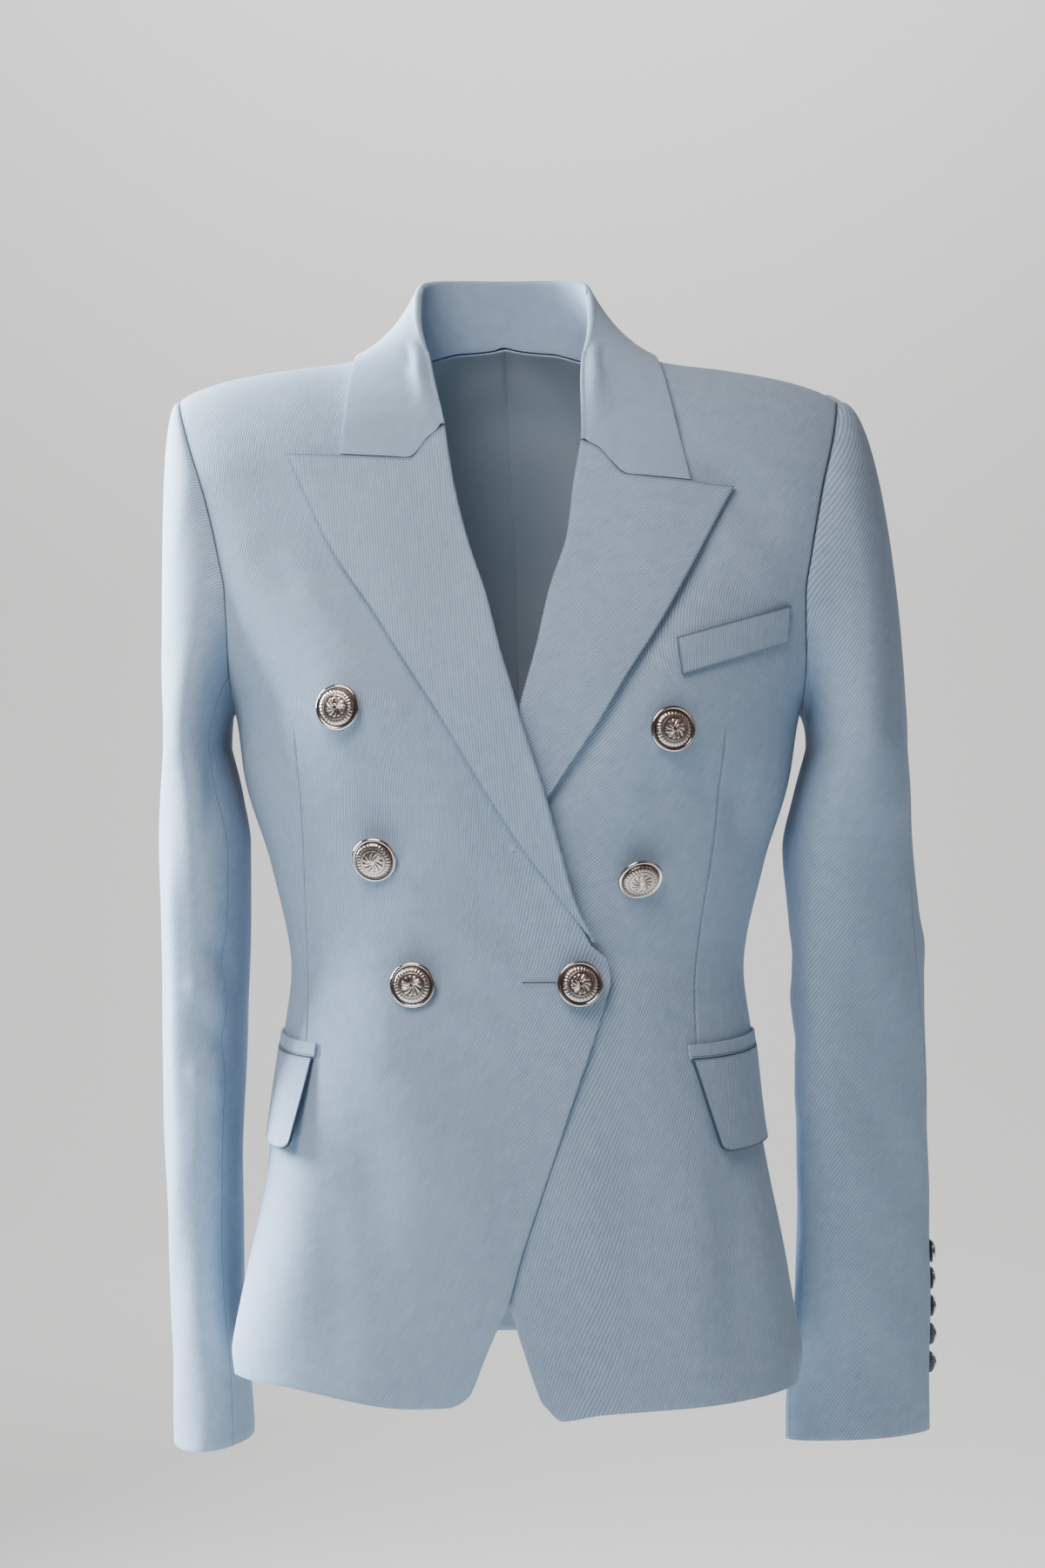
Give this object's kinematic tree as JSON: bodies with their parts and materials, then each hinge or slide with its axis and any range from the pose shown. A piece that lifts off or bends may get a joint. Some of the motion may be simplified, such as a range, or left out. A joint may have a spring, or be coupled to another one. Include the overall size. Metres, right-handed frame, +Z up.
{
  "type": "blazer",
  "caption": "Women's double-breasted blazer with peak lapels, flap pockets and domed metal buttons, hollow and open as worn",
  "frame": {"origin": "midway between the shoulder seams' neck ends, where the wearer's shoulders hold the blazer up", "axes": "+Z up, front facing -Y, the wearer's right arm at -X"},
  "size_m": [0.4798, 0.2447, 0.712],
  "materials": {
    "cloth": "diagonal wool twill, matte with a soft sheen",
    "button_metal": "polished silver-toned metal with a darkened relief"
  },
  "bodies": {
    "root": {"front_top": "cloth", "front_under": "cloth", "side_left": "cloth", "side_right": "cloth", "back_left": "cloth", "back_right": "cloth", "lapel_top": "cloth", "lapel_under": "cloth", "collar": "cloth", "top_sleeve_left": "cloth", "under_sleeve_left": "cloth", "top_sleeve_right": "cloth", "under_sleeve_right": "cloth", "breast_welt": "cloth", "pocket_jet_left": "cloth", "pocket_jet_right": "cloth", "pocket_flap_left": "cloth", "pocket_flap_right": "cloth", "front_button_top_left": "button_metal", "front_button_middle_left": "button_metal", "front_button_low_left": "button_metal", "front_button_fastened": "button_metal", "front_button_top_right": "button_metal", "front_button_middle_right": "button_metal", "cuff_button_left_1": "button_metal", "cuff_button_left_2": "button_metal", "cuff_button_left_3": "button_metal", "cuff_button_left_4": "button_metal", "cuff_button_left_5": "button_metal", "cuff_button_right_1": "button_metal", "cuff_button_right_2": "button_metal", "cuff_button_right_3": "button_metal", "cuff_button_right_4": "button_metal", "cuff_button_right_5": "button_metal"}
  },
  "joints": []
}
